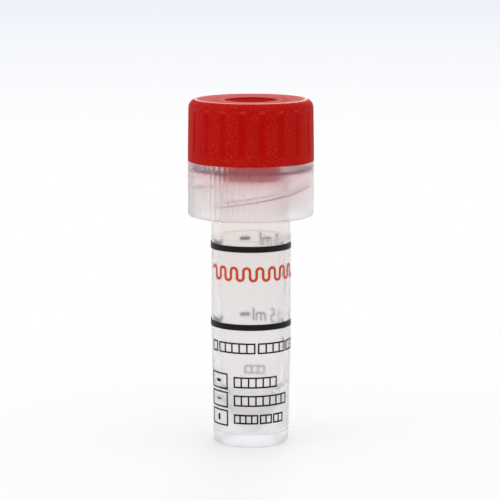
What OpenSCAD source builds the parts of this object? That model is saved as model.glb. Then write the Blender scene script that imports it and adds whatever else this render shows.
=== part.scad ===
// Capillary blood collection tube with a pierceable twist-off cap.
// The tube stands on z = 0 with its axis on Z. Angles are measured from the front (-Y) towards +X.

/* [Tube] */
// Outer diameter of the tube body
tube_d = 10; // [9:0.1:10.6]
// Inner diameter of the sample chamber
bore_d = 8; // [7.4:0.1:8.4]
// Height of the tube mouth above the base
mouth_z = 39; // [38.4:0.1:39.6]
// Outer diameter of the tube at its base
base_d = 9.5; // [9:0.1:9.9]
// Height over which the base widens to the full body diameter
taper_h = 14; // [12:0.5:15]
// Rounding of the base's outer edge
base_round = 0.4; // [0.2:0.05:0.6]
// Width of the ring that the tube stands on
foot_w = 0.95; // [0.8:0.05:1.2]
// Height of the point that the chamber's conical floor would come to
cone_point_z = 1.15; // [1:0.05:2]
// Height of the chamber's conical floor
cone_h = 6.7; // [6:0.1:7.5]
// Radius of the rounded tip of the conical floor
cone_tip_r = 1; // [0.6:0.1:1.4]
// Thickness of the conical floor
floor_t = 0.9; // [0.7:0.05:1.1]

/* [Collar] */
// How far the collar's side stands back from the cap's lower edge
collar_step = 0.02; // [0.01:0.01:0.1]
// Wall thickness of the collar
collar_wall = 0.95; // [0.8:0.05:1.1]
// Height of the collar's lower edge
collar_z = 29.25; // [28:0.05:30]
// Height of the shoulder that the cap sits on
seat_z = 36.22; // [35.6:0.02:37]
// Thickness of the shoulder that joins the collar to the tube
shoulder_t = 1; // [0.8:0.05:1.4]
// Rounding of the collar's lower edge
collar_round = 0.36; // [0.2:0.02:0.4]
// Angle between two grip ribs
rib_pitch = 5; // [4:0.5:6]
// Width of the groove between two ribs
rib_gap_w = 0.42; // [0.3:0.02:0.5]
// Depth of the groove between two ribs
rib_depth = 0.12; // [0.06:0.02:0.2]
// Number of ribbed fields round the collar
rib_fields = 2; // [1:1:2]
// Grooves in one ribbed field
rib_count = 20; // [12:1:24]
// Angle of the middle of the first ribbed field
rib_field_angle = -43; // [-60:1:0]

/* [Carrier ridges] */
// Number of helical ridges inside the collar
ridge_starts = 3; // [2:1:4]
// Rise of a ridge in one full turn
ridge_lead = 7; // [6:0.25:8]
// Angle that one ridge covers
ridge_span = 120; // [60:5:120]
// Angle at which the first ridge starts
ridge_angle = -38; // [-90:1:90]
// Height of a ridge's lower edge above the collar's lower edge
ridge_start_h = 1.58; // [1:0.02:2]
// How far a ridge stands in from the collar's wall
ridge_depth = 0.46; // [0.3:0.02:0.6]
// Height of a ridge's flat crest
ridge_crest_h = 0.45; // [0.3:0.05:0.6]
// Height of the slope above a ridge's crest
ridge_slope_h = 0.4; // [0.2:0.05:0.6]

/* [Cap] */
// Outer diameter of the cap at its lower edge
cap_d = 16; // [15.96:0.02:16.4]
// How far the cap's side leans in from its lower edge to its rounded top edge
cap_draft = 0.1; // [0.05:0.01:0.25]
// Height of the cap from the shoulder to its top
cap_h = 7.81; // [7.4:0.01:8.2]
// Height of the cap's rounded shoulder below its rim
cap_round_h = 1.1; // [0.8:0.05:1.3]
// Angle through which the shoulder turns inwards before it meets the rim
cap_round_span = 72; // [60:1:80]
// How far the roof dips from the rim to the hole
dish_depth = 0.12; // [0:0.02:0.25]
// Thickness of the cap's side wall
cap_wall = 1.5; // [1.3:0.05:1.7]
// Thickness of the cap's roof
roof_t = 1.5; // [1.3:0.05:1.7]
// Diameter of the hole in the roof
hole_d = 6.6; // [6.2:0.1:7]
// Rounding of the hole's upper edge
hole_round = 0.2; // [0.1:0.05:0.25]
// Number of flutes round the cap
flute_count = 20; // [12:1:24]
// Width of a flute
flute_w = 1; // [0.6:0.05:1.2]
// Depth of a flute
flute_depth = 0.1; // [0.06:0.02:0.16]
// Distance from the cap's lower edge to the flutes
flute_start_h = 1.1; // [0.8:0.1:1.6]
// Distance from the cap's top to the flutes
flute_end_h = 0.95; // [0.85:0.05:1.8]
// Angle of the first flute
flute_angle = -7.8; // [-9:0.2:9]
// How far the bead that holds the stopper stands in from the wall
bead_depth = 0.3; // [0.2:0.05:0.4]
// Height of the bead that holds the stopper
bead_h = 0.6; // [0.4:0.05:0.8]
// Radius of the ring on which the two raised turning marks lie
mark_ring_r = 4.7; // [4.4:0.1:5.4]
// Width of a raised turning mark
mark_w = 0.5; // [0.3:0.05:0.7]
// Height of a raised turning mark
mark_h = 0.06; // [0.04:0.01:0.07]
// Angle that a raised turning mark covers
mark_span = 60; // [30:1:80]

/* [Stopper] */
// How deep the stopper's plug reaches into the tube
plug_depth = 5.2; // [4.6:0.1:6]
// Diameter of the hollow inside the plug
plug_hollow_d = 4.2; // [3.6:0.1:4.4]
// Chamfer round the plug's lower edge
plug_chamfer = 0.4; // [0.2:0.05:0.6]
// Thickness of the membrane that a needle goes through
septum_t = 1.1; // [0.8:0.05:1.3]
// Diameter of the membrane at the bottom of the funnel
funnel_d = 4.5; // [4:0.1:5]
// Depth of the membrane below the roof's top
funnel_depth = 1.45; // [1.2:0.05:1.7]
// Distance of the stopper's top face below the roof's top
stopper_drop = 0.35; // [0.3:0.05:0.5]
// Width of the stopper's rim round the funnel
stopper_rim_w = 0.25; // [0.15:0.05:0.4]
// Length of each arm-to-arm cut in the membrane
slit_len = 3.6; // [3:0.1:4]
// Width of each cut in the membrane
slit_w = 0.12; // [0.06:0.02:0.2]

/* [Fits] */
// Radial clearance between the plug and the tube, and between the stopper and the cap
running_clearance = 0.05; // [0.02:0.01:0.09]
// Height of the free space between the bead and the stopper's disc
bead_clearance = 0.1; // [0.05:0.05:0.2]
// Height of the free space between the stopper's disc and the roof
roof_clearance = 0.05; // [0.05:0.05:0.15]

/* [Label] */
// Height of the label's lower edge
label_z = 1.65; // [1:0.05:2.5]
// Height of the label
label_h = 24.95; // [24.2:0.05:26]
// Thickness of the label's film
film_t = 0.06; // [0.04:0.01:0.1]
// Thickness of the adhesive under the film
adhesive_t = 0.02; // [0.01:0.01:0.04]
// Angle at which the label's overlapping end starts
seam_angle = 89; // [80:1:120]
// Angle that the label's overlap covers
seam_span = 12; // [8:1:20]
// How far the overlapping end sits above the rest of the label
seam_step = 0.35; // [0:0.05:0.6]

/* [Print] */
// Thickness of the ink
ink_t = 0.03; // [0.02:0.01:0.05]
// Volume of the lower fill ring in millilitres
low_volume = 0.5; // [0.4:0.05:0.6]
// Volume of the upper fill ring in millilitres
high_volume = 1; // [0.9:0.02:1]
// Width of a fill ring
ring_w = 0.78; // [0.5:0.01:0.9]
// Free space between the print and the label's free end
end_margin = 0.33; // [0.2:0.01:0.6]
// Angle that a fill ring covers
ring_span = 205; // [190:1:220]
// Distance of the orange wave line's middle below the upper fill ring
wave_drop = 3.16; // [2.4:0.02:4.5]
// Height of the orange wave line
wave_h = 1.95; // [1.4:0.05:2.2]
// Distance between two strokes of the wave line
wave_pitch = 0.82; // [0.7:0.02:0.84]
// Strokes of the wave line
wave_strokes = 16; // [12:1:16]
// Width of the wave line
wave_stroke = 0.34; // [0.2:0.02:0.4]
// Distance of the title row's middle below the lower fill ring
title_drop = 2.7; // [1.9:0.02:3.1]
// Width of a cell in the title row
title_cell_w = 0.98; // [0.7:0.02:1]
// Height of the title row
title_h = 1.2; // [0.9:0.05:1.5]
// Distance of the lowest entry row's middle above the label's lower edge
entry_rise = 2.04; // [1.6:0.02:2.5]
// Distance between two entry rows
entry_pitch = 2.38; // [2.2:0.02:2.45]
// Distance from the label's free end to the left end of an entry row's cells
entry_left = 9.94; // [9.7:0.01:10.2]
// Width of a cell in the two upper entry rows
entry_cell_w = 0.94; // [0.7:0.02:0.94]
// Height of the two upper entry rows
entry_h = 1.24; // [0.9:0.02:1.4]
// Width of a cell in the lowest entry row
date_cell_w = 0.76; // [0.6:0.01:0.8]
// Height of the lowest entry row
date_h = 1.04; // [0.8:0.02:1.2]
// Distance from the label's free end to the left side of the tick frames
frame_left = 14.02; // [13.8:0.01:14.3]
// Width of a tick frame
frame_w = 3; // [2.6:0.05:3.2]
// Height of a tick frame
frame_h = 1.9; // [1.7:0.05:2]
// Size of the shape inside a tick frame
tick_size = 0.8; // [0.5:0.05:1.2]
// Distance of the back field's middle above the label's lower edge
back_rise = 6.4; // [5:0.05:8]
// Distance from the label's overlap to the left end of the back field
back_start = 4.9; // [4:0.1:6]
// Width of the printed black lines
line_w = 0.2; // [0.14:0.01:0.24]
// Height of the volume figures on the back
figure_h = 1.9; // [1.5:0.05:2.1]
// Width of the volume figures' strokes
figure_stroke = 0.24; // [0.16:0.01:0.28]
// Length of the dash beside a volume figure
dash_len = 1.45; // [1:0.05:2]
// Width of the dash beside a volume figure
dash_w = 0.5; // [0.3:0.02:0.6]
// Distance from the label's overlap to the upper volume figure
upper_start = 0.2; // [0.1:0.05:1.5]
// Distance from the label's overlap to the lower volume figure
lower_start = 1.2; // [0.1:0.05:1.5]
// Free space between the upper volume figure and its dash
upper_gap = 1.3; // [0.3:0.05:1.5]
// Free space between the lower volume figure and its dash
lower_gap = 0.3; // [0.3:0.05:1.5]

/* [Hidden] */
$fn = 96;

slack = 0.2;            // how far a cutting shape runs past the face it cuts
arc_steps = 8;          // steps of a rounded edge's quarter circle
bend_step = 0.4;        // longest straight stretch of ink round the tube
ink_lift = 0.01;        // keeps the straight stretches of ink clear of the round film
tube_r = tube_d / 2;
bore_r = bore_d / 2;
base_r = base_d / 2;
cap_r = cap_d / 2;
collar_r = cap_r - collar_step;
collar_bore_r = collar_r - collar_wall;
cap_top_z = seat_z + cap_h;
roof_z = cap_top_z - roof_t;
cap_round_r = cap_round_h / sin(cap_round_span);
cap_rim_r = cap_r - cap_draft - cap_round_r * (1 - cos(cap_round_span));
hole_lip_r = hole_d / 2 + hole_round;
cap_bore_r = cap_r - cap_wall;
disc_r = cap_bore_r - running_clearance;
plug_r = bore_r - running_clearance;
neck_r = hole_d / 2 - running_clearance;
plug_z = mouth_z - plug_depth;
septum_z = cap_top_z - funnel_depth;

// Chamber floor: a cone with a rounded tip, its half angle and where the round meets the cone
cone_half = atan(bore_r / cone_h);
cone_top_z = cone_point_z + cone_h;
tip_centre_z = cone_point_z + cone_tip_r / sin(cone_half);

// The height at which a straight bore down to it would hold as much as the chamber with its cone
level_zero = cone_point_z + cone_h * 2 / 3;
function level_z(millilitres) = level_zero + millilitres * 1000 / (PI * bore_r * bore_r);
wave_z = level_z(high_volume) - wave_drop;
title_z = level_z(low_volume) - title_drop;
entry_z = [for (row = [0 : 2]) label_z + entry_rise + (2 - row) * entry_pitch];

// Distance round the tube from the front to an angle, and the angle at such a distance
function round_at(a) = a * PI * tube_r / 180;
function angle_at(u) = u * 180 / (PI * tube_r);

// Places round the tube of the label's free end, of the front print's right end and of the overlap's end
free_end = round_at(seam_angle);
print_end = free_end - end_margin;
overlap_end = round_at(seam_angle + seam_span);

// Height of the dished roof at radius r
function dish_z(r) = cap_top_z - dish_depth * (cap_rim_r - r) / (cap_rim_r - hole_lip_r);

// Points of an arc about (x, y), from angle a to angle b
function arc(x, y, r, a, b) = [for (i = [0 : arc_steps]) let (t = a + (b - a) * i / arc_steps)
    [x + r * cos(t), y + r * sin(t)]];

// Outer radius of the tube body, and inner radius of the print on its label, at height z
function body_r(z) = z < taper_h ? base_r + (tube_r - base_r) * z / taper_h : tube_r;
function print_r(z) = body_r(z) + adhesive_t + film_t + ink_lift;

// A point at angle a on a circle of radius r, at height z
function on_circle(r, a, z) = [r * sin(a), -r * cos(a), z];

// Quads that join one ring of a swept shape's points to the next, and close its ends or its loop
function sweep_faces(rings, sides, closed) = concat(
    [for (i = [0 : rings - (closed ? 1 : 2)]) for (j = [0 : sides - 1])
        let (a = i * sides, b = ((i + 1) % rings) * sides, k = (j + 1) % sides)
        [a + j, b + j, b + k, a + k]],
    closed ? [] : [[for (j = [0 : sides - 1]) j],
        [for (j = [sides - 1 : -1 : 0]) (rings - 1) * sides + j]]);

// ---- tube ----

// Half section of the tube: body, mouth, conical floor and hollow foot
module tube_section() {
    under_r = cone_tip_r + floor_t;
    foot_r = base_r - foot_w;
    polygon(concat(
        [[foot_r, 0]],
        arc(body_r(base_round) - base_round, base_round, base_round, -90, 0),
        [[tube_r, taper_h], [tube_r, mouth_z - base_round / 2], [tube_r - base_round / 2, mouth_z],
            [bore_r + base_round / 2, mouth_z], [bore_r, mouth_z - base_round / 2], [bore_r, cone_top_z]],
        arc(0, tip_centre_z, cone_tip_r, -cone_half, -90),
        arc(0, tip_centre_z, under_r, -90, -cone_half),
        [[foot_r, tip_centre_z - under_r * sin(cone_half)
            + (foot_r - under_r * cos(cone_half)) / tan(cone_half)]]));
}

// Half section of the shoulder and the collar
module collar_section() {
    inner_round = collar_wall / 2 - collar_round / 2;
    polygon(concat(
        [[bore_r + (tube_r - bore_r) / 2, seat_z], [bore_r + (tube_r - bore_r) / 2, seat_z - shoulder_t],
            [collar_bore_r, seat_z - shoulder_t], [collar_bore_r, collar_z + inner_round],
            [collar_bore_r + inner_round, collar_z]],
        arc(collar_r - collar_round, collar_z + collar_round, collar_round, -90, 0),
        [[collar_r, seat_z]]));
}

// The grooves that leave the grip ribs standing
module rib_grooves() {
    for (field = [0 : rib_fields - 1]) for (i = [0 : rib_count - 1])
        rotate([0, 0, rib_field_angle + field * 360 / rib_fields + (i - (rib_count - 1) / 2) * rib_pitch])
            translate([0, -collar_r, collar_z - slack])
                linear_extrude(height = seat_z - collar_z + 2 * slack)
                    polygon([[0, rib_depth], [-rib_gap_w, -rib_depth], [rib_gap_w, -rib_depth]]);
}

// One helical ridge, rooted in the collar's wall and running out at both ends
module ridge(start) {
    steps = 24;
    run_out = 2;
    root_r = collar_bore_r + collar_wall / 3;
    points = [for (i = [0 : steps]) let (
            a = start + ridge_span * i / steps,
            z = collar_z + ridge_start_h + ridge_lead * ridge_span / 360 * i / steps,
            full = min(1, i / run_out, (steps - i) / run_out),
            crest_r = collar_bore_r + slack / 2 - (ridge_depth + slack / 2) * full)
        each [on_circle(root_r, a, z), on_circle(crest_r, a, z), on_circle(crest_r, a, z + ridge_crest_h),
            on_circle(root_r, a, z + ridge_crest_h + ridge_slope_h)]];
    polyhedron(points = points, faces = sweep_faces(steps + 1, 4, false), convexity = 6);
}

module tube() {
    color([0.93, 0.91, 0.92, 0.5]) {
        difference() {
            union() {
                rotate_extrude() tube_section();
                rotate_extrude() collar_section();
            }
            rib_grooves();
        }
        for (i = [0 : ridge_starts - 1]) ridge(ridge_angle + i * 360 / ridge_starts);
    }
}

// ---- cap ----

// Half section of the cap's shell, with its hole and the bead that holds the stopper
module cap_section() {
    bead_top = mouth_z - bead_clearance;
    polygon(concat(
        [[cap_bore_r, seat_z], [cap_r, seat_z]],
        arc(cap_r - cap_draft - cap_round_r, cap_top_z - cap_round_h, cap_round_r, 0, cap_round_span),
        arc(hole_lip_r, dish_z(hole_lip_r) - hole_round, hole_round, 90, 180),
        [[hole_d / 2, roof_z], [cap_bore_r, roof_z], [cap_bore_r, bead_top],
            [cap_bore_r - bead_depth, bead_top], [cap_bore_r - bead_depth, bead_top - bead_h / 3],
            [cap_bore_r, bead_top - bead_h]]));
}

// The flutes round the cap's side, leaning in with it
module flutes() {
    flute_r = (flute_w * flute_w / 4 + flute_depth * flute_depth) / (2 * flute_depth);
    lean = atan(cap_draft / (cap_h - cap_round_h));
    for (i = [0 : flute_count - 1])
        rotate([0, 0, flute_angle + i * 360 / flute_count])
            translate([0, -cap_r, seat_z]) rotate([-lean, 0, 0])
                translate([0, flute_depth - flute_r, flute_start_h])
                    cylinder(r = flute_r, h = cap_h - flute_start_h - flute_end_h);
}

// Two raised arcs on the roof, for the turn that loosens the cap
module turning_marks() {
    for (side = [0, 180])
        rotate([0, 0, side - mark_span / 2]) rotate_extrude(angle = mark_span)
            polygon([for (corner = [[-1, -1], [1, -1], [1, 1], [-1, 1]])
                let (r = mark_ring_r + corner[0] * mark_w / 2) [r, dish_z(r) + corner[1] * mark_h]]);
}

module cap_shell() {
    color([0.67, 0.05, 0.03]) {
        difference() {
            rotate_extrude() cap_section();
            flutes();
        }
        turning_marks();
    }
}

// ---- stopper ----

// Half section of the stopper: hollow plug, disc under the roof, membrane and funnel
module stopper_section() {
    top_z = cap_top_z - stopper_drop;
    under_z = septum_z - septum_t;
    polygon([
        [0, septum_z], [funnel_d / 2, septum_z], [neck_r - stopper_rim_w, top_z], [neck_r, top_z],
        [neck_r, roof_z - roof_clearance], [disc_r, roof_z - roof_clearance], [disc_r, mouth_z],
        [plug_r, mouth_z], [plug_r, plug_z + plug_chamfer], [plug_r - plug_chamfer, plug_z],
        [plug_hollow_d / 2, plug_z], [plug_hollow_d / 2, under_z], [0, under_z]]);
}

module stopper() {
    color([0.78, 0.16, 0.10])
        difference() {
            rotate_extrude() stopper_section();
            for (turn = [45, 135])
                rotate([0, 0, turn]) translate([0, 0, septum_z - septum_t / 2])
                    cube([slit_len, slit_w, septum_t + 2 * slack], center = true);
        }
}

// ---- label ----

module label() {
    color([0.95, 0.95, 0.98, 0.3]) {
        rotate_extrude() film_section(adhesive_t, adhesive_t + film_t, 0);
        rotate([0, 0, seam_angle - 90]) rotate_extrude(angle = seam_span)
            film_section(adhesive_t + film_t / 2, adhesive_t + 2 * film_t, seam_step);
    }
}

// Half section of the film between two distances from the tube, raised by lift
module film_section(inner, outer, lift) {
    low = label_z + lift;
    high = low + label_h;
    polygon([[body_r(low) + inner, low], [body_r(low) + outer, low], [tube_r + outer, taper_h],
        [tube_r + outer, high], [tube_r + inner, high], [tube_r + inner, taper_h]]);
}

// ---- print ----

// An ink line of width w along a path of [distance round the tube, height] points
module ink_line(path, w, closed = false) {
    n = len(path);
    points = [for (i = [0 : n - 1]) let (
            p = path[i],
            before = path[closed ? (i + n - 1) % n : max(0, i - 1)],
            after = path[closed ? (i + 1) % n : min(n - 1, i + 1)],
            in_dir = unit(i == 0 && !closed ? after - p : p - before),
            out_dir = unit(i == n - 1 && !closed ? p - before : after - p),
            along = unit(in_dir + out_dir),
            reach = w / 2 / max(0.5, along * in_dir),
            side = [-along[1], along[0]] * reach)
        each [ink_point(p + side, 0), ink_point(p + side, ink_t), ink_point(p - side, ink_t),
            ink_point(p - side, 0)]];
    polyhedron(points = points, faces = sweep_faces(n, 4, closed), convexity = 10);
}
function unit(v) = v / norm(v);
function ink_point(p, lift) = on_circle(print_r(p[1]) + lift, angle_at(p[0]), p[1]);

// A closed box outline from left edge u and about height z, in n steps to follow the tube's curve
function box_path(u, z, w, h, n) = concat(
    [for (i = [0 : n]) [u + w * i / n, z - h / 2]],
    [for (i = [n : -1 : 0]) [u + w * i / n, z + h / 2]]);

// A row of empty cells from left edge u, in groups with half a cell between them, and its whole width
module cell_row(u, z, w, h, groups) {
    steps = ceil(w / bend_step);
    for (g = [0 : len(groups) - 1]) let (left = u + (sum(groups, g) + g / 2) * w) {
        ink_line(box_path(left, z, groups[g] * w, h, groups[g] * steps), line_w, closed = true);
        if (groups[g] > 1) for (i = [1 : groups[g] - 1])
            ink_line([[left + i * w, z - h / 2], [left + i * w, z + h / 2]], line_w);
    }
}
function sum(list, count, i = 0) = i < count ? list[i] + sum(list, count, i + 1) : 0;
function row_w(w, groups) = (sum(groups, len(groups)) + (len(groups) - 1) / 2) * w;

module fill_rings() {
    color([0.07, 0.07, 0.05]) {
        ring(level_z(low_volume));
        ring(level_z(high_volume));
    }
}

module ring(z) {
    rotate([0, 0, angle_at(print_end) - ring_span - 90]) rotate_extrude(angle = ring_span)
        translate([print_r(z), z - ring_w / 2]) square([ink_t, ring_w]);
}

// A wave of upright strokes with round turns between them
module wave_line_print() {
    turn_r = wave_pitch / 2;
    straight = wave_h / 2 - turn_r - wave_stroke / 2;
    left = print_end - wave_stroke / 2 - wave_strokes * wave_pitch;
    path = [for (k = [0 : wave_strokes - 1]) for (a = [0 : 30 : 180]) let (up = k % 2 == 0 ? 1 : -1)
        [left + (k + 0.5) * wave_pitch - turn_r * cos(a), wave_z + up * (straight + turn_r * sin(a))]];
    color([0.80, 0.27, 0.08]) ink_line(path, wave_stroke);
}

// Empty cells to fill in: a title row, three entry rows that each start with a tick frame, and a field
// on the back
module entry_fields_print() {
    color([0.10, 0.11, 0.11]) {
        title = [1, 5, 4, 2];
        title_left = print_end - line_w / 2 - row_w(title_cell_w, title);
        cell_row(title_left, title_z, title_cell_w, title_h, title);
        frame_steps = ceil(frame_w / bend_step);
        for (z = entry_z)
            ink_line(box_path(free_end - frame_left, z, frame_w, frame_h, frame_steps), line_w,
                closed = true);
        cell_row(free_end - entry_left, entry_z[0], entry_cell_w, entry_h, [6]);
        cell_row(free_end - entry_left, entry_z[1], entry_cell_w, entry_h, [8]);
        cell_row(free_end - entry_left, entry_z[2], date_cell_w, date_h, [4, 2, 2]);
        cell_row(overlap_end + back_start, label_z + back_rise, entry_cell_w, date_h, [3]);
        tick_shapes();
    }
}

// A bar, a dash and a post inside the three tick frames
module tick_shapes() {
    u = free_end - frame_left + frame_w / 2;
    half = tick_size / 2;
    ink_line([for (x = [-half, 0, half]) [u + x, entry_z[0]]], half);
    ink_line([for (x = [-half, 0, half]) [u + x, entry_z[1]]], line_w);
    ink_line([[u, entry_z[2] - half], [u, entry_z[2] + half]], half);
}

// Volume figures on the back, one beside each fill ring
module volume_scale_print() {
    color([0.25, 0.27, 0.36]) {
        volume_mark(level_z(high_volume), "1.0 ml", upper_start, upper_gap);
        volume_mark(level_z(low_volume), "0.5 ml", lower_start, lower_gap);
    }
}

// A figure at this distance from the label's overlap, and its dash after the gap
module volume_mark(z, words, start, gap) {
    left = overlap_end + start;
    dash_left = left + words_w(words, len(words)) * figure_h + gap;
    for (i = [0 : len(words) - 1]) for (stroke = strokes(words[i]))
        ink_line([for (p = stroke)
            [left + (words_w(words, i) + p[0]) * figure_h, z + (p[1] - 0.5) * figure_h]], figure_stroke);
    ink_line([for (i = [0 : 4]) [dash_left + dash_len * i / 4, z]], dash_w);
}

// Width of a character's cell, and of the first count characters of words, in units of the figures' height
function cell_w(c) = c == "m" ? 0.86 : c == "l" ? 0.2 : c == "." || c == " " ? 0.3 : 0.62;
function words_w(words, count, i = 0) = i < count ? cell_w(words[i]) + words_w(words, count, i + 1) : 0;

// One arch of the letter m, from x
function m_arch(x) = concat([[x, 0.46]],
    [for (a = [135 : -45 : 0]) [x + 0.17 + 0.17 * cos(a), 0.46 + 0.14 * sin(a)]], [[x + 0.34, 0.06]]);

// Strokes of a figure or letter in a cell one unit high
function strokes(c) =
    c == "0" ? [[for (a = [0 : 30 : 360]) [0.25 + 0.2 * cos(a), 0.5 + 0.44 * sin(a)]]] :
    c == "1" ? [[[0.1, 0.72], [0.28, 0.94], [0.28, 0.06]]] :
    c == "5" ? [concat([[0.43, 0.94], [0.12, 0.94], [0.08, 0.55]],
        [for (a = [110 : -30 : -130]) [0.22 + 0.22 * cos(a), 0.33 + 0.27 * sin(a)]])] :
    c == "." ? [[[0.08, 0.06], [0.2, 0.06]]] :
    c == "l" ? [[[0.1, 0.94], [0.1, 0.06]]] :
    c == "m" ? [[[0.06, 0.06], [0.06, 0.6]], m_arch(0.06), m_arch(0.4)] :
    [];

tube();
cap_shell();
stopper();
label();
fill_rings();
wave_line_print();
entry_fields_print();
volume_scale_print();
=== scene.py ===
import math

import bmesh
import bpy
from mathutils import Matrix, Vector


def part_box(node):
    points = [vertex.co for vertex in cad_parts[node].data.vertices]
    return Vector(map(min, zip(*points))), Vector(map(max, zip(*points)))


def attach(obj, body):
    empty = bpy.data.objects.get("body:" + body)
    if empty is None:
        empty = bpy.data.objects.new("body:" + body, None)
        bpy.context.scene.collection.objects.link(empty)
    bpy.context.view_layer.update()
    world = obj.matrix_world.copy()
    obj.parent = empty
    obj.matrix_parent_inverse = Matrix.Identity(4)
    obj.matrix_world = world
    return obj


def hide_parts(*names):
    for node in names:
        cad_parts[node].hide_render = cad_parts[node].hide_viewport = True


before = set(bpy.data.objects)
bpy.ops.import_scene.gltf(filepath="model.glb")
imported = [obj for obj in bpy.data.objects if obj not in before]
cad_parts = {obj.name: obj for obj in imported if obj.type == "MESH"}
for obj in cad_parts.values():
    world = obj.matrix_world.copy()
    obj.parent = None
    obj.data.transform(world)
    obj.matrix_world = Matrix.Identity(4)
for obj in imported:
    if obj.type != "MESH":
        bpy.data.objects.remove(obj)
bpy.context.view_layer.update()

# Lengths are in millimetres, and MM turns them into metres. Angles are in degrees, measured from the
# front (-Y) towards +X, as on the part itself.
MM = 0.001
TOLERANCE = 0.01
SHARP_ANGLE = 40

TUBE_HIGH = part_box("tube")[1] / MM
CAP_LOW, CAP_HIGH = (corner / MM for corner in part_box("cap_shell"))
STOPPER_LOW, STOPPER_HIGH = (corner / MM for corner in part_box("stopper"))
LABEL_LOW, LABEL_HIGH = (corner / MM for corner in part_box("label"))

# ---- sizes of the tube ----
TUBE_R = 5
BORE_R = 4
BASE_R = 4.75
TAPER_H = 14
BASE_ROUND = 0.4
FOOT_R = 3.8
FOOT_ROUND = 0.12
FOOT_CORNER = 0.2
MOUTH_Z = TUBE_HIGH.z
MOUTH_ROUND = 0.2
CONE_POINT_Z = 1.15
CONE_H = 6.7
CONE_TIP_R = 1
FLOOR_T = 0.9
CONE_EDGE_W = 0.12
CONE_EDGE_H = 0.2
CONE_HALF_ANGLE = math.degrees(math.atan(BORE_R / CONE_H))
TIP_CENTRE_Z = CONE_POINT_Z + CONE_TIP_R / math.sin(math.radians(CONE_HALF_ANGLE))
# The arcs of the cone's tip stop just short of the axis, where one point closes them
UNDER_TIP_START = -80
FLOOR_TIP_END = -78
# Heights of the rows of points in the plain walls, where the plastic's look may change
BODY_ROWS = (2, 6, 10, TAPER_H, 18, 23, 28)
BORE_ROWS = (30, 28, 20, 12)

# ---- sizes of the collar ----
SEAT_Z = CAP_LOW.z
COLLAR_R = TUBE_HIGH.x
COLLAR_WALL = 0.95
COLLAR_BORE_R = COLLAR_R - COLLAR_WALL
COLLAR_Z = 29.25
COLLAR_ROUND = 0.36
COLLAR_ROWS = (31, 33, 35)
SHOULDER_T = 1
SEAT_CHAMFER = 0.06
CORNER_FILLET = 0.45
RIB_PITCH = 5
RIB_GAP_W = 0.42
RIB_GAP_FLANK = 1.15
RIB_DEPTH = 0.12
RIB_COUNT = 20
RIB_FIELD_ANGLE = -43
RIB_FIELD_HALF = RIB_COUNT / 2 * RIB_PITCH
RIDGE_STARTS = 3
RIDGE_LEAD = 7
RIDGE_ANGLE = -38
RIDGE_START_H = 1.58
RIDGE_DEPTH = 0.46
RIDGE_RUN_OUT = 10
# Half section of a ridge: share of its depth, height above its lower edge, and its look there,
# which is plain at 0, milkier and painted pale at -1, and painted deep pink at 1; the pale and the pink
# are painted reflection of light and of the red cap inside the ridge
RIDGE_FORM = [(0, 0.76, 0), (0.04, 0.7, -1), (0.5, 0.57, -1), (0.94, 0.46, -1), (1, 0.41, -1), (1, 0.16, 0),
              (1, 0.07, 1), (0.94, 0.01, 1), (0.5, 0, 0), (0.05, 0, 0), (0, -0.05, 0)]
TUBE_COLUMNS = 576

# ---- how blurred the tube's plastic is, beyond its own roughness ----
BLUR_OF_RIBS = 0.24
BLUR_UNDER_SHOULDER = 0.4
BLUR_OF_RIDGES = 0.4
BLUR_OF_COLLAR = 0.17
BLUR_OF_FOOT = 0.16
FOOT_BLUR_Z = 5
FOOT_BLUR_FADE = 4

# ---- sizes of the cap ----
CAP_R = CAP_HIGH.x
CAP_TOP_Z = CAP_HIGH.z
CAP_TAPER = 0.1
CAP_SIDE_R = CAP_R - CAP_TAPER
CAP_ROUND_H = 1.1
CAP_ROUND_SPAN = 72
CAP_ROUND_R = CAP_ROUND_H / math.sin(math.radians(CAP_ROUND_SPAN))
CAP_RIM_R = CAP_SIDE_R - CAP_ROUND_R * (1 - math.cos(math.radians(CAP_ROUND_SPAN)))
CAP_EDGE_ROUND = 0.1
CAP_WALL = 1.5
CAP_BORE_R = CAP_R - CAP_WALL
CAP_BORE_CHAMFER = 0.1
CAP_SIDE_ROWS = 26
ROOF_T = 1.5
ROOF_Z = CAP_TOP_Z - ROOF_T
ROOF_OUTER_ROWS = (CAP_RIM_R - 0.05, 6.6, 6, 5.4)
ROOF_INNER_ROWS = (4, 3.7)
RIM_LINE_W = 0.12
DISH_DEPTH = 0.12
HOLE_R = 3.3
HOLE_ROUND = 0.2
FLUTE_COUNT = 20
FLUTE_ANGLE = -7.8
FLUTE_W = 1
FLUTE_DEPTH = 0.1
FLUTE_START_Z = SEAT_Z + 1.1
FLUTE_END_Z = CAP_TOP_Z - 0.95
FLUTE_RUN_OUT = 0.3
FLUTE_FULL_Z = FLUTE_START_Z + 1
FLUTE_TIP_Z = FLUTE_END_Z - 0.1
FLUTE_TIP_H = 0.2
BEAD_TOP_Z = MOUTH_Z - 0.1
BEAD_DEPTH = 0.3
BEAD_H = 0.6
BEAD_CHAMFER = 0.05
MARK_R = 4.7
MARK_W = 0.5
MARK_H = 0.06
MARK_SPAN = 60
MARK_FLANK = 0.08
MARK_STEPS = (0.06, 0.03, 0, -0.03, -0.06)
CAP_COLUMNS = 720

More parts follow.
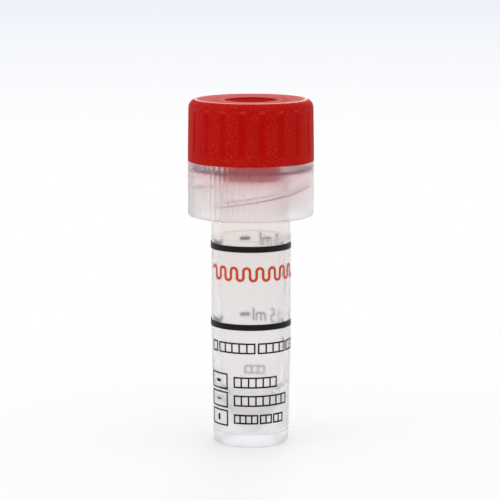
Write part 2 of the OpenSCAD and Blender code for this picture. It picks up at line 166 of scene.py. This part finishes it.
# ---- sizes of the stopper ----
CLEARANCE = 0.05
STOPPER_ROUND = 0.1
DISC_R = STOPPER_HIGH.x
PLUG_R = BORE_R - CLEARANCE
PLUG_Z = STOPPER_LOW.z
PLUG_CHAMFER = 0.4
PLUG_HOLLOW_R = 2.1
NECK_R = HOLE_R - CLEARANCE
STOPPER_TOP_Z = STOPPER_HIGH.z
FUNNEL_R = 2.25
FUNNEL_FLOOR_R = 1.85
SEPTUM_Z = CAP_TOP_Z - 1.45
SEPTUM_T = 1.1
RIM_W = 0.25
LIP_INSIDE = 0.03
LIP_ON_TOP = 0.04
LIP_H = 0.05
SLIT_LEN = 3.6
SLIT_W = 0.12
SLIT_OVERCUT = 0.5
STOPPER_COLUMNS = 192

# ---- sizes of the label ----
ADHESIVE_T = 0.02
FILM_T = 0.06
FILM_END = 89
FILM_OVERLAP = 12
FILM_CLIMB = 4
FILM_LIFT = 1.05
FILM_EDGE_W = 0.16
FILM_ROWS = (4, 8, TAPER_H, 20)
SEAM_STEP = 0.35

# ---- the view, with LOOK_AT and VIEW_DISTANCE in metres, as Blender takes them ----
LOOK_AT = Vector((-0.115, 0, 24.7)) * MM
VIEW_DISTANCE = 308 * MM
VIEW_ELEVATION = 8.95
LENS = 174.1

# ---- the floor, in metres: each pair says from how far to how far from the middle a change runs ----
FLOOR_HALF = 3
# Over this distance the painted warm bounce light near the object fades out.
FLOOR_WARM_FADE = (0.006, 0.03)
FLOOR_GLOW_START = (0.01, 0.09)
FLOOR_COOL_FADE = (0.3, 1.1)
GLOW_NEAR_OBJECT = 0.4
GLOW_THROUGH_PLASTIC = 0.92


# ---- shape helpers ----

def on_circle(r, angle, z):
    """The point at this angle on a circle of radius r, in metres."""
    turn = math.radians(angle)
    return (r * math.sin(turn) * MM, -r * math.cos(turn) * MM, z * MM)


def arc(r, z, radius, start, end, steps=8):
    """Points of an arc about (r, z) in the half section."""
    turns = [math.radians(start + (end - start) * i / steps) for i in range(steps + 1)]
    return [(r + radius * math.cos(t), z + radius * math.sin(t)) for t in turns]


def smooth(x):
    """0 to 1 without a kink, as x goes from 0 to 1."""
    x = min(1, max(0, x))
    return x * x * (3 - 2 * x)


def mesh_object(name, verts, faces):
    """An object of these faces, smooth except at edges sharper than SHARP_ANGLE."""
    mesh = bpy.data.meshes.new(name)
    mesh.from_pydata(verts, [], faces)
    made = bmesh.new()
    made.from_mesh(mesh)
    bmesh.ops.recalc_face_normals(made, faces=made.faces)
    made.to_mesh(mesh)
    made.free()
    mesh.shade_smooth()
    mesh.set_sharp_from_angle(angle=math.radians(SHARP_ANGLE))
    obj = bpy.data.objects.new(name, mesh)
    bpy.context.scene.collection.objects.link(obj)
    return obj


def turned(name, columns, section, poles=None):
    """A solid turned round Z: section(angle) gives its (r, z) points. Its ends meet the axis at the
    two heights in poles, or each other."""
    rings = [section(360 * j / columns) for j in range(columns)]
    rows = len(rings[0])
    verts = [on_circle(r, 360 * j / columns, z) for j, ring in enumerate(rings) for r, z in ring]
    faces = []
    for j in range(columns):
        here, there = j * rows, (j + 1) % columns * rows
        for i in range(rows - (1 if poles else 0)):
            k = (i + 1) % rows
            faces.append((here + i, there + i, there + k, here + k))
    for end, z in zip((0, rows - 1), poles or ()):
        verts.append((0, 0, z * MM))
        for j in range(columns):
            faces.append((len(verts) - 1, j * rows + end, (j + 1) % columns * rows + end))
    return mesh_object(name, verts, faces)


def point_values(obj, name, values):
    """Give each point of the mesh its number, which a material reads by this name."""
    obj.data.attributes.new(name, "FLOAT", "POINT").data.foreach_set("value", values)


def cylindrical(vert):
    """Radius, angle and height of a mesh point, in the units of the sizes above."""
    x, y, z = vert.co / MM
    return math.hypot(x, y), math.degrees(math.atan2(x, -y)), z


# ---- tube ----

def body_r(z):
    """Outer radius of the tube body at height z."""
    return BASE_R + (TUBE_R - BASE_R) * min(1, z / TAPER_H)


def from_rib_field(angle):
    """How far this angle is from the middle of the nearer of the two fields of ribs."""
    return (angle - RIB_FIELD_ANGLE + 90) % 180 - 90


def rib_groove(angle):
    """Depth of the grooves between the grip ribs at this angle."""
    field = from_rib_field(angle)
    if abs(field) > RIB_FIELD_HALF:
        return 0
    off = (field + RIB_PITCH) % RIB_PITCH - RIB_PITCH / 2
    across = abs(math.radians(off)) * COLLAR_R / (RIB_GAP_W / 2)
    return RIB_DEPTH * (1 - smooth(across / RIB_GAP_FLANK))


def ridge_rows(angle):
    """The collar's inner wall where a helical ridge crosses it at this angle."""
    span = 360 / RIDGE_STARTS
    along = (angle - RIDGE_ANGLE) % span
    z = COLLAR_Z + RIDGE_START_H + RIDGE_LEAD * along / 360
    depth = RIDGE_DEPTH * smooth(min(along, span - along) / RIDGE_RUN_OUT)
    return [(COLLAR_BORE_R - depth * share, z + height) for share, height, _ in RIDGE_FORM]


def tube_section(angle):
    """Half section of the tube: up its outside, over the mouth and down the bore."""
    outside = COLLAR_R - rib_groove(angle)
    under_r = CONE_TIP_R + FLOOR_T
    cone_turn = math.radians(CONE_HALF_ANGLE)
    foot_top_z = (TIP_CENTRE_Z - under_r * math.sin(cone_turn)
                  + (FOOT_R - under_r * math.cos(cone_turn)) / math.tan(cone_turn))
    cone_top_z = CONE_POINT_Z + CONE_H
    under_z = SEAT_Z - SHOULDER_T
    inner_round = COLLAR_WALL / 2 - COLLAR_ROUND / 2
    points = arc(0, TIP_CENTRE_Z, under_r, UNDER_TIP_START, -CONE_HALF_ANGLE)
    points += [(FOOT_R - FOOT_CORNER, foot_top_z - FOOT_CORNER / math.tan(cone_turn))]
    points += [(FOOT_R, foot_top_z - FOOT_CORNER)]
    points += arc(FOOT_R + FOOT_ROUND, FOOT_ROUND, FOOT_ROUND, 180, 270, 4)
    points += arc(body_r(BASE_ROUND) - BASE_ROUND, BASE_ROUND, BASE_ROUND, -90, 0)
    points += [(body_r(z), z) for z in BODY_ROWS]
    points += arc(TUBE_R + CORNER_FILLET, under_z - CORNER_FILLET, CORNER_FILLET, 180, 90, 5)
    points += arc(COLLAR_BORE_R - CORNER_FILLET, under_z - CORNER_FILLET, CORNER_FILLET, 90, 0, 5)
    points += ridge_rows(angle)
    points += arc(COLLAR_BORE_R + inner_round, COLLAR_Z + inner_round, inner_round, 180, 270, 5)
    points += [(min(r, outside), z) for r, z in
               arc(COLLAR_R - COLLAR_ROUND, COLLAR_Z + COLLAR_ROUND, COLLAR_ROUND, -90, 0)]
    points += [(outside, z) for z in (*COLLAR_ROWS, SEAT_Z - SEAT_CHAMFER)]
    points += [(outside - SEAT_CHAMFER, SEAT_Z)]
    points += [(TUBE_R + SEAT_CHAMFER, SEAT_Z), (TUBE_R, SEAT_Z + SEAT_CHAMFER)]
    points += arc(TUBE_R - MOUTH_ROUND, MOUTH_Z - MOUTH_ROUND, MOUTH_ROUND, 0, 90, 4)
    points += arc(BORE_R + MOUTH_ROUND, MOUTH_Z - MOUTH_ROUND, MOUTH_ROUND, 90, 180, 4)
    points += [(BORE_R, z) for z in (*BORE_ROWS, cone_top_z + CONE_EDGE_H)]
    points += [(BORE_R - CONE_EDGE_W, cone_top_z - CONE_EDGE_H)]
    points += arc(0, TIP_CENTRE_Z, CONE_TIP_R, -CONE_HALF_ANGLE, FLOOR_TIP_END, 6)
    return points


def blur_at(r, angle, z):
    """How blurred the tube's surface is at this place, away from the ridges."""
    on_outside = r > COLLAR_R - COLLAR_WALL / 2
    if on_outside and abs(from_rib_field(angle)) < RIB_FIELD_HALF:
        return BLUR_OF_RIBS
    in_gap = TUBE_R + TOLERANCE < r < COLLAR_BORE_R - TOLERANCE
    if in_gap and SEAT_Z - SHOULDER_T - CORNER_FILLET < z < SEAT_Z - TOLERANCE:
        return BLUR_UNDER_SHOULDER
    if z > COLLAR_Z - TOLERANCE:
        return BLUR_OF_COLLAR
    return BLUR_OF_FOOT * (1 - smooth((z - FOOT_BLUR_Z) / FOOT_BLUR_FADE))


def make_tube():
    """The tube, with the numbers that its plastic reads: where it is painted pink, where it is milkier and
    painted pale, and where it is blurred.
    """
    under_z = TIP_CENTRE_Z - CONE_TIP_R - FLOOR_T
    tube = turned("moulded_tube", TUBE_COLUMNS, tube_section, poles=(under_z, under_z + FLOOR_T))
    blur = [blur_at(*cylindrical(vert)) for vert in tube.data.vertices]
    ridge = [0] * len(blur)
    veil_painted_reflection = [0] * len(blur)
    section = tube_section(0)
    first = section.index(ridge_rows(0)[0])
    # Along each ridge: a painted pale band on its upper slope and a painted deep pink reflection at its
    # lower edge.
    for j in range(TUBE_COLUMNS):
        for i, (_, _, look) in enumerate(RIDGE_FORM):
            point = j * len(section) + first + i
            ridge[point] = max(0, look)
            veil_painted_reflection[point] = max(0, -look)
            blur[point] = BLUR_OF_RIDGES if look < 0 else BLUR_OF_COLLAR
    point_values(tube, "ridge", ridge)
    point_values(tube, "veil_painted_reflection", veil_painted_reflection)
    point_values(tube, "blur", blur)
    return tube


# ---- cap ----

def flute_share(angle, z):
    """0 on the pads between the flutes, and 1 in the middle of a flute."""
    pitch = 360 / FLUTE_COUNT
    off = (angle - FLUTE_ANGLE + pitch / 2) % pitch - pitch / 2
    across = abs(math.radians(off)) * CAP_R / (FLUTE_W / 2)
    along = min(z - FLUTE_START_Z, FLUTE_END_Z - z) / FLUTE_RUN_OUT
    return max(0, 1 - across * across) * smooth(along)


def dish_z(r):
    """Height of the dished roof at this radius."""
    lip_r = HOLE_R + HOLE_ROUND
    return CAP_TOP_Z - DISH_DEPTH * (CAP_RIM_R - r) / (CAP_RIM_R - lip_r)


def mark_share(r, angle):
    """1 on the two raised turning marks, and 0 round them."""
    off = abs(angle % 180 - 90)
    ends = math.radians(MARK_SPAN / 2 - off) * MARK_R
    sides = MARK_W / 2 - abs(r - MARK_R)
    return smooth(ends / MARK_FLANK + 0.5) * smooth(sides / MARK_FLANK + 0.5)


def cap_section(angle):
    """Half section of the cap: up its side, over the roof and down the hole and the inside."""
    low_z, high_z = SEAT_Z + CAP_EDGE_ROUND, CAP_TOP_Z - CAP_ROUND_H
    side = arc(CAP_R - CAP_EDGE_ROUND, low_z, CAP_EDGE_ROUND, -90, 0, 3)
    for i in range(1, CAP_SIDE_ROWS):
        z = low_z + (high_z - low_z) * i / CAP_SIDE_ROWS
        side.append((CAP_R + (CAP_SIDE_R - CAP_R) * (z - SEAT_Z) / (high_z - SEAT_Z), z))
    side += arc(CAP_SIDE_R - CAP_ROUND_R, high_z, CAP_ROUND_R, 0, CAP_ROUND_SPAN, 12)
    points = [(CAP_BORE_R, SEAT_Z)]
    points += [(r - FLUTE_DEPTH * flute_share(angle, z), z) for r, z in side]
    mark_rows = [edge + step for edge in (MARK_R + MARK_W / 2, MARK_R - MARK_W / 2) for step in MARK_STEPS]
    for r in (*ROOF_OUTER_ROWS, *mark_rows, *ROOF_INNER_ROWS):
        points.append((r, dish_z(r) + MARK_H * mark_share(r, angle)))
    points += arc(HOLE_R + HOLE_ROUND, dish_z(HOLE_R + HOLE_ROUND) - HOLE_ROUND, HOLE_ROUND, 90, 180, 5)
    points += [(HOLE_R, ROOF_Z)]
    points += [(CAP_BORE_R - CAP_BORE_CHAMFER, ROOF_Z), (CAP_BORE_R, ROOF_Z - CAP_BORE_CHAMFER)]
    bead_r = CAP_BORE_R - BEAD_DEPTH
    points += [(CAP_BORE_R, BEAD_TOP_Z + BEAD_CHAMFER), (bead_r + BEAD_CHAMFER, BEAD_TOP_Z)]
    points += [(bead_r, BEAD_TOP_Z - BEAD_CHAMFER), (bead_r, BEAD_TOP_Z - BEAD_H / 3)]
    points += [(CAP_BORE_R, BEAD_TOP_Z - BEAD_H)]
    return points


def make_cap():
    """The cap shell, with the numbers that its plastic reads: flutes, the painted highlights at their upper
    ends and the painted highlight of the rim line.
    """
    cap = turned("ribbed_cap", CAP_COLUMNS, cap_section)
    flute = []
    edge = []
    tip = []
    for vert in cap.data.vertices:
        r, angle, z = cylindrical(vert)
        on_side = r > CAP_R - CAP_WALL / 3
        # The upper end of each flute gets a painted highlight, standing in for the top light that it
        # catches.
        near_tip = max(0, 1 - abs(z - FLUTE_TIP_Z) / FLUTE_TIP_H)
        flute.append(flute_share(angle, z) ** 0.5 if on_side else 0)
        # The rim line gets a painted pale highlight, and is glossier there.
        edge.append(max(0, 1 - math.hypot(r - CAP_RIM_R, z - CAP_TOP_Z) / RIM_LINE_W))
        tip.append(flute_share(angle, FLUTE_FULL_Z) * near_tip if on_side else 0)
    point_values(cap, "flute", flute)
    point_values(cap, "edge", edge)
    point_values(cap, "tip", tip)
    return cap


# ---- stopper ----

def stopper_section(_angle):
    """Half section of the stopper, the same all round: funnel, neck, disc, plug and its hollow."""
    under_z = SEPTUM_Z - SEPTUM_T
    points = [(FUNNEL_FLOOR_R, SEPTUM_Z), (FUNNEL_R - STOPPER_ROUND, SEPTUM_Z)]
    points += [(FUNNEL_R, SEPTUM_Z + STOPPER_ROUND / 2)]
    lip_r = NECK_R - RIM_W
    points += [(lip_r - LIP_INSIDE, STOPPER_TOP_Z - LIP_H), (lip_r + LIP_ON_TOP, STOPPER_TOP_Z)]
    points += arc(NECK_R - STOPPER_ROUND, STOPPER_TOP_Z - STOPPER_ROUND, STOPPER_ROUND, 90, 0, 4)
    points += [(NECK_R, ROOF_Z - CLEARANCE), (DISC_R, ROOF_Z - CLEARANCE), (DISC_R, MOUTH_Z)]
    points += [(PLUG_R, MOUTH_Z), (PLUG_R, PLUG_Z + PLUG_CHAMFER), (PLUG_R - PLUG_CHAMFER, PLUG_Z)]
    points += [(PLUG_HOLLOW_R, PLUG_Z), (PLUG_HOLLOW_R, under_z - STOPPER_ROUND), (PLUG_HOLLOW_R, under_z)]
    points += [(SLIT_LEN / 2, under_z)]
    return points


def cross_prism(name, length, width, low_z, high_z):
    """An upright prism whose section is a cross with diagonal arms."""
    half, arm = width / 2, length / 2
    corners = [(half, half), (half, arm), (-half, arm)]
    outline = []
    for turn in (0, 90, 180, 270):
        a = math.radians(turn + 45)
        outline += [(x * math.cos(a) - y * math.sin(a), x * math.sin(a) + y * math.cos(a))
                    for x, y in corners]
    count = len(outline)
    verts = [(x * MM, y * MM, z * MM) for z in (low_z, high_z) for x, y in outline]
    faces = [tuple(range(count)), tuple(range(count, 2 * count))]
    faces += [(i, (i + 1) % count, count + (i + 1) % count, count + i) for i in range(count)]
    return mesh_object(name, verts, faces)


def make_stopper():
    """The stopper, with a cross cut through its membrane."""
    under_z = SEPTUM_Z - SEPTUM_T
    stopper = turned("pierceable_stopper", STOPPER_COLUMNS, stopper_section, poles=(SEPTUM_Z, under_z))
    cutter = cross_prism("slit_cutter", SLIT_LEN, SLIT_W, under_z - SLIT_OVERCUT, SEPTUM_Z + SLIT_OVERCUT)
    cut = stopper.modifiers.new("slits", "BOOLEAN")
    cut.object = cutter
    cut.operation = "DIFFERENCE"
    cut.solver = "EXACT"
    bpy.context.view_layer.update()
    whole = stopper.data
    stopper.data = bpy.data.meshes.new_from_object(
        stopper.evaluated_get(bpy.context.evaluated_depsgraph_get()))
    stopper.modifiers.clear()
    bpy.data.meshes.remove(whole)
    bpy.data.objects.remove(cutter)
    return stopper


# ---- label ----

def make_label():
    """One strip of film: it starts under its own end and goes round the front to the free end."""
    steps = 360 + FILM_OVERLAP
    low_z, high_z = LABEL_LOW.z, LABEL_HIGH.z - SEAM_STEP
    heights = [low_z, low_z + FILM_EDGE_W, *FILM_ROWS, high_z - FILM_EDGE_W, high_z]
    verts = []
    edge = []
    for i in range(steps + 1):
        angle = FILM_END + FILM_OVERLAP - i
        over = smooth((i - 360 + FILM_CLIMB) / FILM_CLIMB)
        for side in (0, 1):
            for z in heights:
                r = body_r(z) + ADHESIVE_T + FILM_T * (side + over * FILM_LIFT)
                verts.append(on_circle(r, angle, z + SEAM_STEP * over))
                edge.append(1 if z in (low_z, high_z) or i > steps - 2 else 0)
    rows = len(heights)
    loop = list(range(rows)) + list(range(2 * rows - 1, rows - 1, -1))
    faces = []
    for i in range(steps):
        here, there = i * 2 * rows, (i + 1) * 2 * rows
        for a, b in zip(loop, loop[1:] + loop[:1]):
            faces.append((here + a, there + a, there + b, here + b))
    for start in (0, steps * 2 * rows):
        for k in range(rows - 1):
            faces.append((start + k, start + k + 1, start + rows + k + 1, start + rows + k))
    label = mesh_object("label_film", verts, faces)
    point_values(label, "edge", edge)
    return label


# ---- materials ----

def new_material(name):
    made = bpy.data.materials.new(name)
    made.use_nodes = True
    made.node_tree.nodes.clear()
    return made


def add(owner, kind, inputs=None, **settings):
    """A node of a material or a world. An input is a value, or the output that feeds it."""
    tree = owner.node_tree
    made = tree.nodes.new(kind)
    for key, value in settings.items():
        setattr(made, key, value)
    for key, value in (inputs or {}).items():
        if isinstance(value, bpy.types.NodeSocket):
            tree.links.new(value, made.inputs[key])
        else:
            made.inputs[key].default_value = value
    return made


def finish_material(material, shader):
    add(material, "ShaderNodeOutputMaterial", {"Surface": shader.outputs[0]})
    return material


def noise(material, size, detail=2, stretch=(1, 1, 1)):
    """Noise whose grains are about this size in mm, in the part's own coordinates."""
    place = add(material, "ShaderNodeTexCoord").outputs["Object"]
    scaled = add(material, "ShaderNodeMapping", {"Vector": place, "Scale": stretch})
    return add(material, "ShaderNodeTexNoise", {
        "Vector": scaled.outputs[0], "Scale": 1 / (size * MM), "Detail": detail}).outputs["Fac"]


def height_of(material):
    """Height above the part's own z = 0, in metres."""
    place = add(material, "ShaderNodeTexCoord").outputs["Object"]
    return add(material, "ShaderNodeSeparateXYZ", {0: place}).outputs["Z"]


def read(material, name):
    """The numbers that a mesh gives its points by this name."""
    return add(material, "ShaderNodeAttribute", attribute_name=name).outputs["Fac"]


def calculate(owner, operation, first, second):
    return add(owner, "ShaderNodeMath", {0: first, 1: second}, operation=operation).outputs[0]


def spread(owner, value, low, high, start=0.3, end=0.7):
    """value's range from start to end, moved to low to high."""
    return add(owner, "ShaderNodeMapRange", {
        "Value": value, "From Min": start, "From Max": end, "To Min": low, "To Max": high}).outputs[0]


def mix_colours(material, share, first, second):
    """The first colour where share is 0, and the second where it is 1."""
    mixed = add(material, "ShaderNodeMix", data_type="RGBA")
    for socket, value in ((mixed.inputs[0], share), (mixed.inputs[6], first), (mixed.inputs[7], second)):
        if isinstance(value, bpy.types.NodeSocket):
            material.node_tree.links.new(value, socket)
        else:
            socket.default_value = value
    return mixed.outputs[2]


def ramp(colour_ramp, stops):
    """Give a colour ramp these stops of (place, colour)."""
    for i, (place, colour) in enumerate(stops):
        stop = colour_ramp.elements[i] if i < 2 else colour_ramp.elements.new(place)
        stop.position = place
        stop.color = (*colour, 1)


def bump(material, height, distance):
    """A bump of this height in mm."""
    return add(material, "ShaderNodeBump", {"Height": height, "Distance": distance * MM}).outputs[0]


def milky_plastic():
    """Clear polypropylene, slightly milky. Its colour follows the height: the foot is greyer, and towards
    the top of the collar it is painted warmer and then pink, a painted reflection of the red cap that sits
    on it."""
    made = new_material("clear_polypropylene")
    cloud = noise(made, 3, stretch=(1, 1, 0.4))
    height = spread(made, height_of(made), 0, 1, 0, MOUTH_Z * MM)
    by_height = add(made, "ShaderNodeValToRGB", {"Fac": height})
    # From the middle up the colour is painted warmer, and pink just under the seat: painted reflection of
    # red light from the cap.
    ramp(by_height.color_ramp, [
        (0.008, (0.9, 0.885, 0.93)), (0.03, (0.99, 0.982, 0.985)), (0.4, (0.985, 0.96, 0.955)),
        (0.7, (0.97, 0.925, 0.9)), (0.76, (0.975, 0.935, 0.94)), (0.84, (1, 0.945, 0.93)),
        (0.9, (0.965, 0.76, 0.79)), (0.928, (0.97, 0.78, 0.81)), (0.936, (0.98, 0.955, 0.95))])
    clouded = mix_colours(made, spread(made, cloud, 0, 0.2), by_height.outputs[0], (1, 1, 1, 1))
    # The ridges' pale upper slopes and deep pink lower edges are painted reflection of light and of the red
    # cap inside the ridges; the pale band also lets less light through.
    veil_painted_reflection = read(made, "veil_painted_reflection")
    veiled = mix_colours(made, veil_painted_reflection, clouded, (1, 0.97, 0.95, 1))
    shader = add(made, "ShaderNodeBsdfPrincipled", {
        "Base Color": mix_colours(made, read(made, "ridge"), veiled, (0.75, 0.2, 0.4, 1)),
        "Roughness": calculate(made, "ADD", read(made, "blur"), spread(made, cloud, 0.15, 0.19)),
        "IOR": 1.25,
        "Transmission Weight": spread(made, veil_painted_reflection, 0.93, 0.82, 0, 1)})
    return finish_material(made, shader)


def red_plastic():
    """Matt red polyethylene: finely eroded pads with painted glints, smoother flutes between them,
    and painted highlights at the flutes' upper ends and along the glossier rim.
    """
    made = new_material("red_cap")
    speck = noise(made, 0.13, detail=3)
    cloud = noise(made, 2.5)
    edge = read(made, "edge")
    # The lighter specks are painted glints, standing in for light caught by the eroded surface; the bump
    # below is the real grain.
    painted_glint = spread(made, speck, 0, 1, 0.55, 0.75)
    pads = mix_colours(made, cloud, (0.42, 0.003, 0.0012, 1), (0.47, 0.005, 0.002, 1))
    with_painted_glints = mix_colours(made, painted_glint, pads, (0.62, 0.06, 0.04, 1))
    fluted = mix_colours(made, read(made, "flute"), with_painted_glints, (0.46, 0.0025, 0.001, 1))
    # A painted highlight at the upper end of each flute.
    tip = spread(made, read(made, "tip"), 0, 0.35, 0, 1)
    with_painted_tip_glints = mix_colours(made, tip, fluted, (0.7, 0.09, 0.07, 1))
    # Along the rim the colour is painted pale pink, a painted highlight; the lower roughness and stronger
    # specular there are real gloss.
    colour = mix_colours(made, spread(made, edge, 0, 0.7, 0, 1), with_painted_tip_glints, (0.95, 0.27, 0.26, 1))
    shader = add(made, "ShaderNodeBsdfPrincipled", {
        "Base Color": colour,
        "Roughness": spread(made, edge, 0.5, 0.2, 0, 1),
        "IOR": 1.5,
        "Specular IOR Level": spread(made, edge, 0.03, 0.3, 0, 1),
        "Normal": bump(made, spread(made, speck, 0, 1, 0.35, 0.65), 0.02)})
    return finish_material(made, shader)


def red_rubber():
    """Soft matt red rubber, painted as a lit and a shaded copy: a bright plug below the tube's mouth,
    painted light that stands in for what shines through the plastic, and a darker head above it, painted
    shade inside the cap's hole.
    """
    made = new_material("red_rubber")
    cloud = noise(made, 1.2)
    grain = noise(made, 0.12)
    # Painted light and shade: the plug is painted bright, and the head above the mouth painted dark.
    head = spread(made, height_of(made), 0, 1, MOUTH_Z * MM, (MOUTH_Z + 1) * MM)
    plug = mix_colours(made, cloud, (0.8, 0.05, 0.075, 1), (0.88, 0.07, 0.095, 1))
    shader = add(made, "ShaderNodeBsdfPrincipled", {
        "Base Color": mix_colours(made, head, plug, (0.4, 0.012, 0.006, 1)),
        "Roughness": spread(made, cloud, 0.5, 0.62),
        "IOR": 1.5,
        "Specular IOR Level": 0.02,
        "Normal": bump(made, grain, 0.004)})
    return finish_material(made, shader)


def clear_film():
    """Thin clear film that is a little wavy, and shows more at its cut edges."""
    made = new_material("label_film")
    waves = noise(made, 1.6, stretch=(1, 1, 0.5))
    shader = add(made, "ShaderNodeBsdfPrincipled", {
        "Base Color": mix_colours(made, waves, (0.72, 0.68, 0.78, 1), (0.8, 0.77, 0.85, 1)),
        "Roughness": spread(made, waves, 0.16, 0.24),
        "IOR": 1.5,
        "Alpha": spread(made, read(made, "edge"), 0.06, 0.4, 0, 1),
        "Normal": bump(made, waves, 0.004)})
    return finish_material(made, shader)


def ink(name, dark, light):
    """Printed ink, a little uneven where it took less colour."""
    made = new_material(name)
    patches = noise(made, 0.35, detail=3)
    shader = add(made, "ShaderNodeBsdfPrincipled", {
        "Base Color": mix_colours(made, spread(made, patches, 0, 1), dark, light),
        "Roughness": spread(made, patches, 0.4, 0.55),
        "IOR": 1.5,
        "Specular IOR Level": 0.15,
        "Normal": bump(made, patches, 0.004)})
    return finish_material(made, shader)


def floor_surface():
    """Pale paper that takes the object's shadow. Farther from the object, what is seen of it turns into
    an even white glow, and that glow is a little cooler far away. Seen through the plastic it glows too."""
    made = new_material("studio_floor")
    place = add(made, "ShaderNodeNewGeometry").outputs["Position"]
    away = add(made, "ShaderNodeVectorMath", {0: place}, operation="LENGTH").outputs["Value"]
    cool = mix_colours(made, noise(made, 4), (0.87, 0.87, 0.915, 1), (0.88, 0.88, 0.925, 1))
    # Near the object the paper is painted warmer and brighter: painted bounce light from the red cap,
    # lightening the shadow.
    painted_bounce_warmth = spread(made, away, 1, 0, *FLOOR_WARM_FADE)
    paper = add(made, "ShaderNodeBsdfDiffuse", {
        "Color": mix_colours(made, painted_bounce_warmth, cool, (0.935, 0.92, 0.9, 1))})
    coolness = spread(made, away, 0, 1, *FLOOR_COOL_FADE)
    glow = add(made, "ShaderNodeEmission", {
        "Color": mix_colours(made, coolness, (1, 1, 1, 1), (0.84, 0.87, 0.945, 1))})
    path = add(made, "ShaderNodeLightPath")
    seen = path.outputs["Is Camera Ray"]
    for ray in ("Is Glossy Ray", "Is Transmission Ray"):
        seen = calculate(made, "MAXIMUM", seen, path.outputs[ray])
    through = calculate(made, "MULTIPLY", path.outputs["Is Transmission Ray"], GLOW_THROUGH_PLASTIC)
    by_distance = spread(made, away, GLOW_NEAR_OBJECT, 1, *FLOOR_GLOW_START)
    glow_share = calculate(made, "MULTIPLY", seen, calculate(made, "MAXIMUM", by_distance, through))
    both = add(made, "ShaderNodeMixShader", {0: glow_share, 1: paper.outputs[0], 2: glow.outputs[0]})
    return finish_material(made, both)


def put_material(obj, material):
    obj.data.materials.clear()
    obj.data.materials.append(material)


def repaint(node, material):
    """Give a CAD node this material and leave its mesh as it is."""
    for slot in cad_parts[node].material_slots:
        slot.material = material


# ---- stage ----

def make_floor():
    verts = [(x * FLOOR_HALF, y * FLOOR_HALF, 0) for x, y in ((-1, -1), (1, -1), (1, 1), (-1, 1))]
    floor = mesh_object("floor", verts, [(0, 1, 2, 3)])
    put_material(floor, floor_surface())


def aim(obj, target):
    obj.rotation_euler = (target - obj.location).to_track_quat("-Z", "Y").to_euler()


def softbox(name, place, size, energy):
    """A square white lamp that looks at the object and can't be seen through the plastic."""
    data = bpy.data.lights.new(name, "AREA")
    data.shape = "SQUARE"
    data.size = size
    data.energy = energy
    lamp = bpy.data.objects.new(name, data)
    lamp.location = place
    lamp.visible_transmission = False
    bpy.context.scene.collection.objects.link(lamp)
    aim(lamp, LOOK_AT)


def make_lights():
    softbox("softbox_top", place=(0.05, -0.05, 0.5), size=0.4, energy=0.55)
    softbox("softbox_back", place=(0.05, 0.5, 0.28), size=0.22, energy=0.6)
    softbox("softbox_left", place=(-0.4, -0.2, 0.25), size=0.25, energy=0.25)


def make_world():
    """An even white room, a little dimmer as a light than where the plastic shows or mirrors it."""
    world = bpy.data.worlds.new("studio")
    world.use_nodes = True
    world.node_tree.nodes.clear()
    path = add(world, "ShaderNodeLightPath")
    shown = calculate(world, "MAXIMUM", path.outputs["Is Glossy Ray"], path.outputs["Is Transmission Ray"])
    room = add(world, "ShaderNodeBackground", {
        "Color": (1, 1, 1, 1), "Strength": spread(world, shown, 0.8, 1, 0, 1)})
    add(world, "ShaderNodeOutputWorld", {"Surface": room.outputs[0]})
    bpy.context.scene.world = world


def make_camera():
    data = bpy.data.cameras.new("camera")
    data.lens = LENS
    data.clip_start = 0.01
    camera = bpy.data.objects.new("camera", data)
    turn = math.radians(VIEW_ELEVATION)
    camera.location = LOOK_AT + Vector((0, -math.cos(turn), math.sin(turn))) * VIEW_DISTANCE
    bpy.context.scene.collection.objects.link(camera)
    aim(camera, LOOK_AT)
    bpy.context.scene.camera = camera


# ---- everything in its place ----

make_camera()
make_floor()
make_lights()
make_world()

tube = make_tube()
put_material(tube, milky_plastic())
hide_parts("tube")
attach(tube, "tube")

cap = make_cap()
put_material(cap, red_plastic())
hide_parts("cap_shell")
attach(cap, "cap")

label = make_label()
put_material(label, clear_film())
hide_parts("label")
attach(label, "tube")

stopper = make_stopper()
put_material(stopper, red_rubber())
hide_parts("stopper")
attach(stopper, "stopper")

black = ink("black_ink", (0.003, 0.004, 0.002, 1), (0.006, 0.007, 0.005, 1))
repaint("fill_rings", black)
repaint("entry_fields_print", black)
repaint("wave_line_print", ink("orange_ink", (0.55, 0.055, 0.006, 1), (0.65, 0.08, 0.012, 1)))
repaint("volume_scale_print", ink("grey_ink", (0.006, 0.025, 0.2, 1), (0.012, 0.04, 0.28, 1)))

bpy.context.scene.view_settings.view_transform = "Standard"
